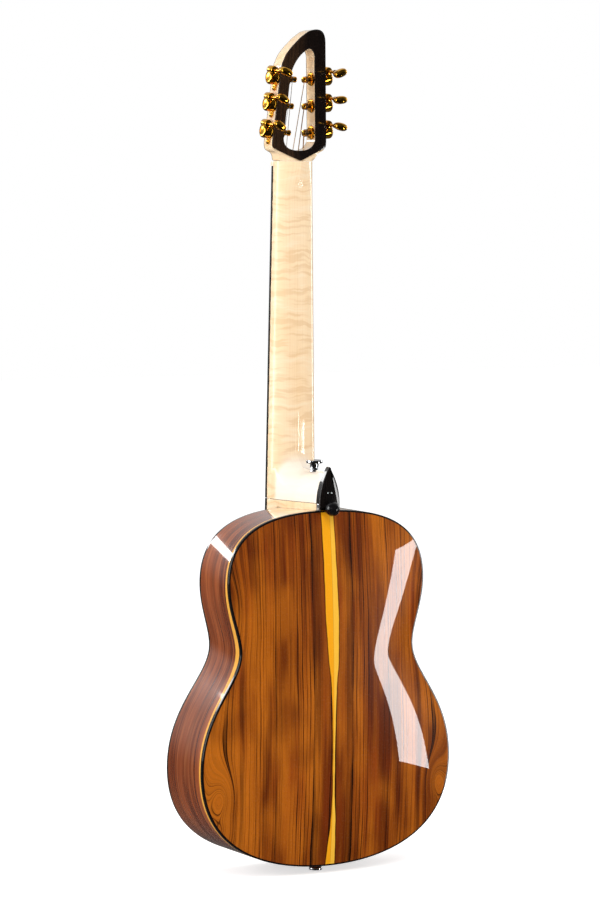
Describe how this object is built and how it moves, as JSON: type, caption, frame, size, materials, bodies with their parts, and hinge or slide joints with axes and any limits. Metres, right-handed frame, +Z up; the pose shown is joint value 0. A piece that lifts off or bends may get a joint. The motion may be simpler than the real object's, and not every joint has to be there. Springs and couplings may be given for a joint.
{
  "type": "folding guitar",
  "caption": "Small steel-string guitar whose neck folds forward over the soundboard on a hinge and locks at the back of the heel with a knob.",
  "frame": {"origin": "middle of the end button's flat outer face, at the tail of the body", "axes": "+Z up the neck, +Y towards the back of the guitar, +X towards the treble side"},
  "size_m": [0.3062, 0.1137, 0.9084],
  "materials": {
    "back": "gloss",
    "ribs": "gloss",
    "spruce": "satin",
    "maple": "gloss",
    "ebony": "satin",
    "mahogany": "matte",
    "bone": "satin",
    "pearl": "gloss",
    "black_plastic": "gloss",
    "gold": "polished",
    "chrome": "polished",
    "steel": "satin",
    "bronze": "satin"
  },
  "bodies": {
    "sound_box": {"soundboard": "spruce", "rosette": "pearl", "back_plate": "back", "rib_treble": "ribs", "rib_bass": "ribs", "front_binding": "ebony", "back_binding": "ebony", "neck_block": "maple", "tail_block": "mahogany", "cross_brace": "spruce", "upper_brace": "spruce", "back_brace_1": "mahogany", "back_brace_2": "mahogany", "back_brace_3": "mahogany", "bridge_plate": "maple", "bridge": "ebony", "saddle": "bone", "fingerboard_extension": "ebony", "foot_plate": "maple", "hinge_leaf_body": "steel", "hinge_pin": "steel", "lock_block": "chrome", "end_button": "chrome", "string_1": "steel", "string_2": "steel", "string_3": "bronze", "string_4": "bronze", "string_5": "bronze", "string_6": "bronze"},
    "neck": {"neck_shaft": "maple", "truss_rod": "steel", "fingerboard": "ebony", "nut": "bone", "heel_cap": "ebony", "strap_button": "chrome", "headstock": "maple", "headstock_front_veneer": "ebony", "headstock_back_veneer": "ebony", "hinge_leaf_neck": "steel", "tuner_housing_treble_1": "gold", "tuner_housing_treble_2": "gold", "tuner_housing_treble_3": "gold", "tuner_housing_bass_1": "gold", "tuner_housing_bass_2": "gold", "tuner_housing_bass_3": "gold"},
    "clamp_washer": {"clamp_washer": "chrome"},
    "lock_knob": {"lock_stud": "steel", "lock_knob": "black_plastic"},
    "key_treble_1": {"tuner_key_treble_1": "gold"},
    "post_treble_1": {"tuner_post_treble_1": "gold"},
    "key_treble_2": {"tuner_key_treble_2": "gold"},
    "post_treble_2": {"tuner_post_treble_2": "gold"},
    "key_treble_3": {"tuner_key_treble_3": "gold"},
    "post_treble_3": {"tuner_post_treble_3": "gold"},
    "key_bass_1": {"tuner_key_bass_1": "gold"},
    "post_bass_1": {"tuner_post_bass_1": "gold"},
    "key_bass_2": {"tuner_key_bass_2": "gold"},
    "post_bass_2": {"tuner_post_bass_2": "gold"},
    "key_bass_3": {"tuner_key_bass_3": "gold"},
    "post_bass_3": {"tuner_post_bass_3": "gold"}
  },
  "joints": [
    {"name": "neck_fold", "type": "hinge", "parent": "sound_box", "child": "neck", "pos_m": [0, -0.0684, 0.4008], "axis": [1, 0, 0], "range_deg": [0, 172], "deforming": ["string_1", "string_2", "string_3", "string_4", "string_5", "string_6"]},
    {"name": "clamp_slide", "type": "slide", "parent": "sound_box", "child": "clamp_washer", "axis": [0, 1, 0], "range_m": [0, 0.002]},
    {"name": "knob_turn", "type": "hinge", "parent": "clamp_washer", "child": "lock_knob", "pos_m": [0, 0.0281, 0.3957], "axis": [0, 1, 0], "range_deg": [0, 720]},
    {"name": "key_turn_treble_1", "type": "hinge", "parent": "neck", "child": "key_treble_1", "pos_m": [0.03741, -0.05169, 0.80702], "axis": [0, 0.9951, -0.099], "continuous": true},
    {"name": "post_turn_treble_1", "type": "hinge", "parent": "neck", "child": "post_treble_1", "pos_m": [0.03225, -0.05252, 0.7987], "axis": [0.9974, 0.0071, 0.0711], "continuous": true},
    {"name": "key_turn_treble_2", "type": "hinge", "parent": "neck", "child": "key_treble_2", "pos_m": [0.03536, -0.04884, 0.83567], "axis": [0, 0.9951, -0.099], "continuous": true},
    {"name": "post_turn_treble_2", "type": "hinge", "parent": "neck", "child": "post_treble_2", "pos_m": [0.0302, -0.04967, 0.82735], "axis": [0.9974, 0.0071, 0.0711], "continuous": true},
    {"name": "key_turn_treble_3", "type": "hinge", "parent": "neck", "child": "key_treble_3", "pos_m": [0.03331, -0.04599, 0.86432], "axis": [0, 0.9951, -0.099], "continuous": true},
    {"name": "post_turn_treble_3", "type": "hinge", "parent": "neck", "child": "post_treble_3", "pos_m": [0.02814, -0.04682, 0.856], "axis": [0.9974, 0.0071, 0.0711], "continuous": true},
    {"name": "key_turn_bass_1", "type": "hinge", "parent": "neck", "child": "key_bass_1", "pos_m": [-0.03741, -0.05169, 0.80702], "axis": [0, 0.9951, -0.099], "continuous": true},
    {"name": "post_turn_bass_1", "type": "hinge", "parent": "neck", "child": "post_bass_1", "pos_m": [-0.03225, -0.05252, 0.7987], "axis": [0.9974, -0.0071, -0.0711], "continuous": true},
    {"name": "key_turn_bass_2", "type": "hinge", "parent": "neck", "child": "key_bass_2", "pos_m": [-0.03536, -0.04884, 0.83567], "axis": [0, 0.9951, -0.099], "continuous": true},
    {"name": "post_turn_bass_2", "type": "hinge", "parent": "neck", "child": "post_bass_2", "pos_m": [-0.0302, -0.04967, 0.82735], "axis": [0.9974, -0.0071, -0.0711], "continuous": true},
    {"name": "key_turn_bass_3", "type": "hinge", "parent": "neck", "child": "key_bass_3", "pos_m": [-0.03331, -0.04599, 0.86432], "axis": [0, 0.9951, -0.099], "continuous": true},
    {"name": "post_turn_bass_3", "type": "hinge", "parent": "neck", "child": "post_bass_3", "pos_m": [-0.02814, -0.04682, 0.856], "axis": [0.9974, -0.0071, -0.0711], "continuous": true}
  ],
  "couplings": [
    {"joint": "clamp_slide", "follows": "knob_turn", "m_per_rad": 0.00015915},
    {"joint": "post_turn_treble_1", "follows": "key_turn_treble_1", "ratio": 0.071429},
    {"joint": "post_turn_treble_2", "follows": "key_turn_treble_2", "ratio": 0.071429},
    {"joint": "post_turn_treble_3", "follows": "key_turn_treble_3", "ratio": 0.071429},
    {"joint": "post_turn_bass_1", "follows": "key_turn_bass_1", "ratio": -0.071429},
    {"joint": "post_turn_bass_2", "follows": "key_turn_bass_2", "ratio": -0.071429},
    {"joint": "post_turn_bass_3", "follows": "key_turn_bass_3", "ratio": -0.071429}
  ]
}
